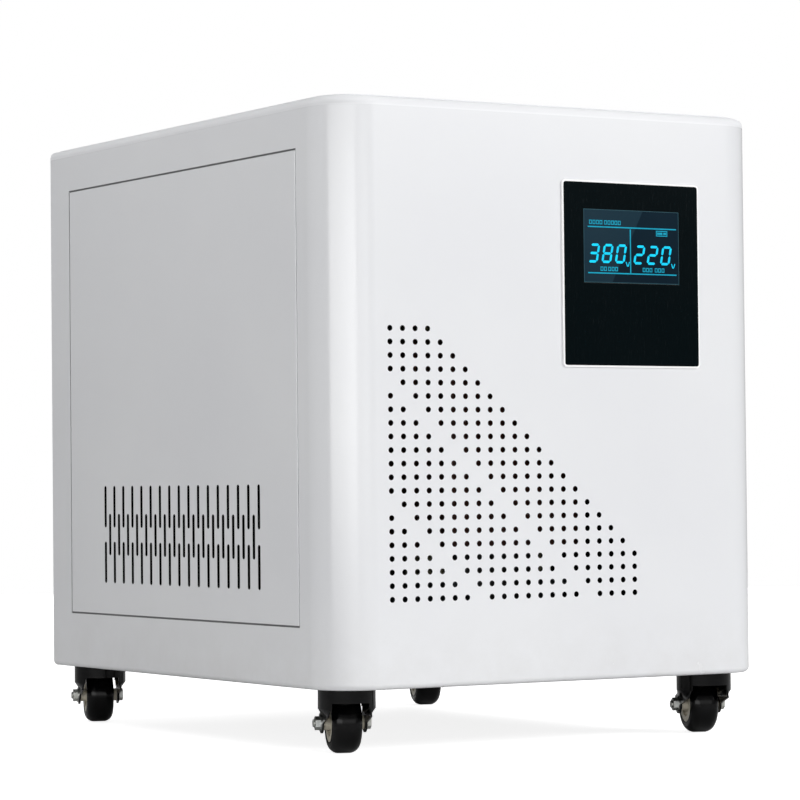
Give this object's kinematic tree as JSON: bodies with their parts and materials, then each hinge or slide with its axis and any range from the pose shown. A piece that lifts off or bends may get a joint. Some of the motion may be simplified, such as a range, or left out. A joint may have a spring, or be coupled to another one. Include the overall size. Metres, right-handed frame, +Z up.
{
  "type": "dry-type transformer cabinet",
  "caption": "Mobile cabinet for a three-phase dry-type transformer: folded sheet-steel case with a perforated front, slotted side panels, a dark display, cable glands and swivel casters.",
  "frame": {"origin": "on the floor under the centre of the whole object's box, cable glands and display included", "axes": "+X to the right seen from the front, +Y from the front to the rear panel, +Z up"},
  "size_m": [0.568, 0.7164, 0.7015],
  "materials": {
    "cabinet_paint": "satin powder coat",
    "chassis_paint": "matt powder coat",
    "zinc_steel": "zinc plated",
    "display_fascia": "gloss",
    "display_screen": "gloss",
    "circuit_board": "solder mask",
    "dark_plastic": "fine grain",
    "gland_plastic": "moulded nylon",
    "brass": "bright",
    "core_varnish": "varnished laminations",
    "clamp_paint": "satin",
    "inner_winding_wrap": "varnished wrap",
    "outer_winding_wrap": "varnished wire",
    "insulation_board": "pressed board",
    "terminal_resin": "phenolic",
    "copper": "bare copper bar",
    "caster_paint": "gloss black",
    "wheel_core_nylon": "moulded",
    "tyre_rubber": "gloss black rubber"
  },
  "bodies": {
    "root": {"front_wrap": "cabinet_paint", "left_wall": "cabinet_paint", "right_wall": "cabinet_paint", "top_rim": "cabinet_paint", "bottom_rim": "cabinet_paint", "left_side_panel": "cabinet_paint", "right_side_panel": "cabinet_paint", "top_lid": "cabinet_paint", "rear_panel": "cabinet_paint", "rear_flanges": "cabinet_paint", "panel_fixings": "zinc_steel", "cover_screws": "zinc_steel", "display_plate": "display_fascia", "display_window": "display_screen", "display_board": "circuit_board", "display_housing": "dark_plastic", "display_screws": "zinc_steel", "base_plate": "chassis_paint", "base_rail_front": "chassis_paint", "base_rail_rear": "chassis_paint", "input_gland_body": "gland_plastic", "input_gland_nut": "gland_plastic", "output_gland_body": "gland_plastic", "output_gland_nut": "gland_plastic", "gland_locknuts": "gland_plastic", "earth_stud": "brass", "core_stack": "core_varnish", "lower_clamps": "clamp_paint", "upper_clamps": "clamp_paint", "clamp_bolts": "zinc_steel", "inner_windings": "inner_winding_wrap", "outer_windings": "outer_winding_wrap", "coil_blocks": "insulation_board", "terminal_board": "terminal_resin", "terminal_studs": "brass", "winding_leads": "copper", "caster_king_pins": "zinc_steel", "caster_bolts": "zinc_steel", "caster_front_left_plate": "caster_paint", "caster_front_right_plate": "caster_paint", "caster_rear_left_plate": "caster_paint", "caster_rear_right_plate": "caster_paint"},
    "caster_front_left_swivel": {"caster_front_left_fork": "caster_paint", "caster_front_left_axle": "zinc_steel"},
    "caster_front_left_wheel": {"caster_front_left_wheel_core": "wheel_core_nylon", "caster_front_left_tyre": "tyre_rubber"},
    "caster_front_right_swivel": {"caster_front_right_fork": "caster_paint", "caster_front_right_axle": "zinc_steel"},
    "caster_front_right_wheel": {"caster_front_right_wheel_core": "wheel_core_nylon", "caster_front_right_tyre": "tyre_rubber"},
    "caster_rear_left_swivel": {"caster_rear_left_fork": "caster_paint", "caster_rear_left_axle": "zinc_steel"},
    "caster_rear_left_wheel": {"caster_rear_left_wheel_core": "wheel_core_nylon", "caster_rear_left_tyre": "tyre_rubber"},
    "caster_rear_right_swivel": {"caster_rear_right_fork": "caster_paint", "caster_rear_right_axle": "zinc_steel"},
    "caster_rear_right_wheel": {"caster_rear_right_wheel_core": "wheel_core_nylon", "caster_rear_right_tyre": "tyre_rubber"}
  },
  "joints": [
    {"name": "caster_front_left_turn", "type": "hinge", "parent": "root", "child": "caster_front_left_swivel", "pos_m": [-0.242, -0.30575, 0.078], "axis": [0, 0, 1], "continuous": true},
    {"name": "caster_front_left_spin", "type": "hinge", "parent": "caster_front_left_swivel", "child": "caster_front_left_wheel", "pos_m": [-0.23448, -0.28508, 0.0325], "axis": [0.9397, -0.342, 0], "continuous": true},
    {"name": "caster_front_right_turn", "type": "hinge", "parent": "root", "child": "caster_front_right_swivel", "pos_m": [0.23, -0.30575, 0.078], "axis": [0, 0, 1], "continuous": true},
    {"name": "caster_front_right_spin", "type": "hinge", "parent": "caster_front_right_swivel", "child": "caster_front_right_wheel", "pos_m": [0.23752, -0.28508, 0.0325], "axis": [0.9397, -0.342, 0], "continuous": true},
    {"name": "caster_rear_left_turn", "type": "hinge", "parent": "root", "child": "caster_rear_left_swivel", "pos_m": [-0.242, 0.29025, 0.078], "axis": [0, 0, 1], "continuous": true},
    {"name": "caster_rear_left_spin", "type": "hinge", "parent": "caster_rear_left_swivel", "child": "caster_rear_left_wheel", "pos_m": [-0.23448, 0.31092, 0.0325], "axis": [0.9397, -0.342, 0], "continuous": true},
    {"name": "caster_rear_right_turn", "type": "hinge", "parent": "root", "child": "caster_rear_right_swivel", "pos_m": [0.23, 0.29025, 0.078], "axis": [0, 0, 1], "continuous": true},
    {"name": "caster_rear_right_spin", "type": "hinge", "parent": "caster_rear_right_swivel", "child": "caster_rear_right_wheel", "pos_m": [0.23752, 0.31092, 0.0325], "axis": [0.9397, -0.342, 0], "continuous": true}
  ]
}
